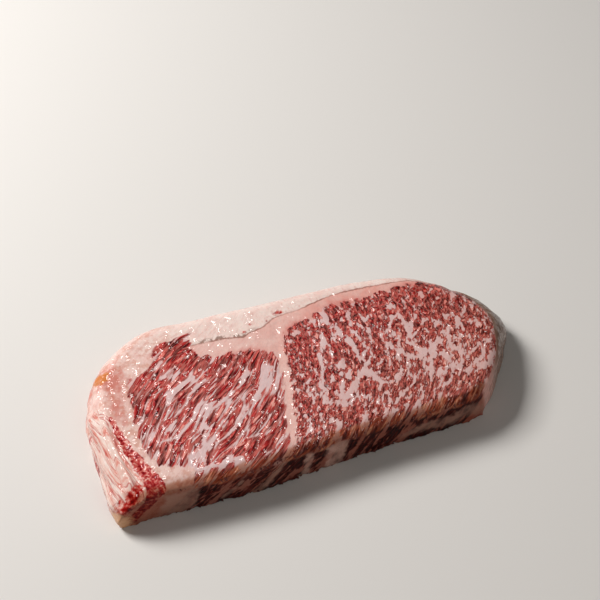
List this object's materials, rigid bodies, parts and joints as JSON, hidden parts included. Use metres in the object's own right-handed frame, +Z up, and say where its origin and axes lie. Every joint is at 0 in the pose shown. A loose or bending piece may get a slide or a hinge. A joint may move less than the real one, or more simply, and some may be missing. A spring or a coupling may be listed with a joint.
{
  "type": "raw beef striploin",
  "caption": "Thick slice of raw, heavily marbled beef striploin: two muscles with a fat seam between them, a fat cap along the back and a straight knife cut along the front.",
  "frame": {"origin": "under the middle of the slice, on the surface it lies on", "axes": "+X along the straight front cut, towards the rounded tip; +Y towards the fat cap; +Z up, out of the top cut face"},
  "size_m": [0.2521, 0.1136, 0.0254],
  "materials": {
    "raw_beef": "raw beef: red lean finely marbled with pale fat, under a thin wet film"
  },
  "bodies": {
    "root": {"striploin": "raw_beef"}
  },
  "joints": []
}
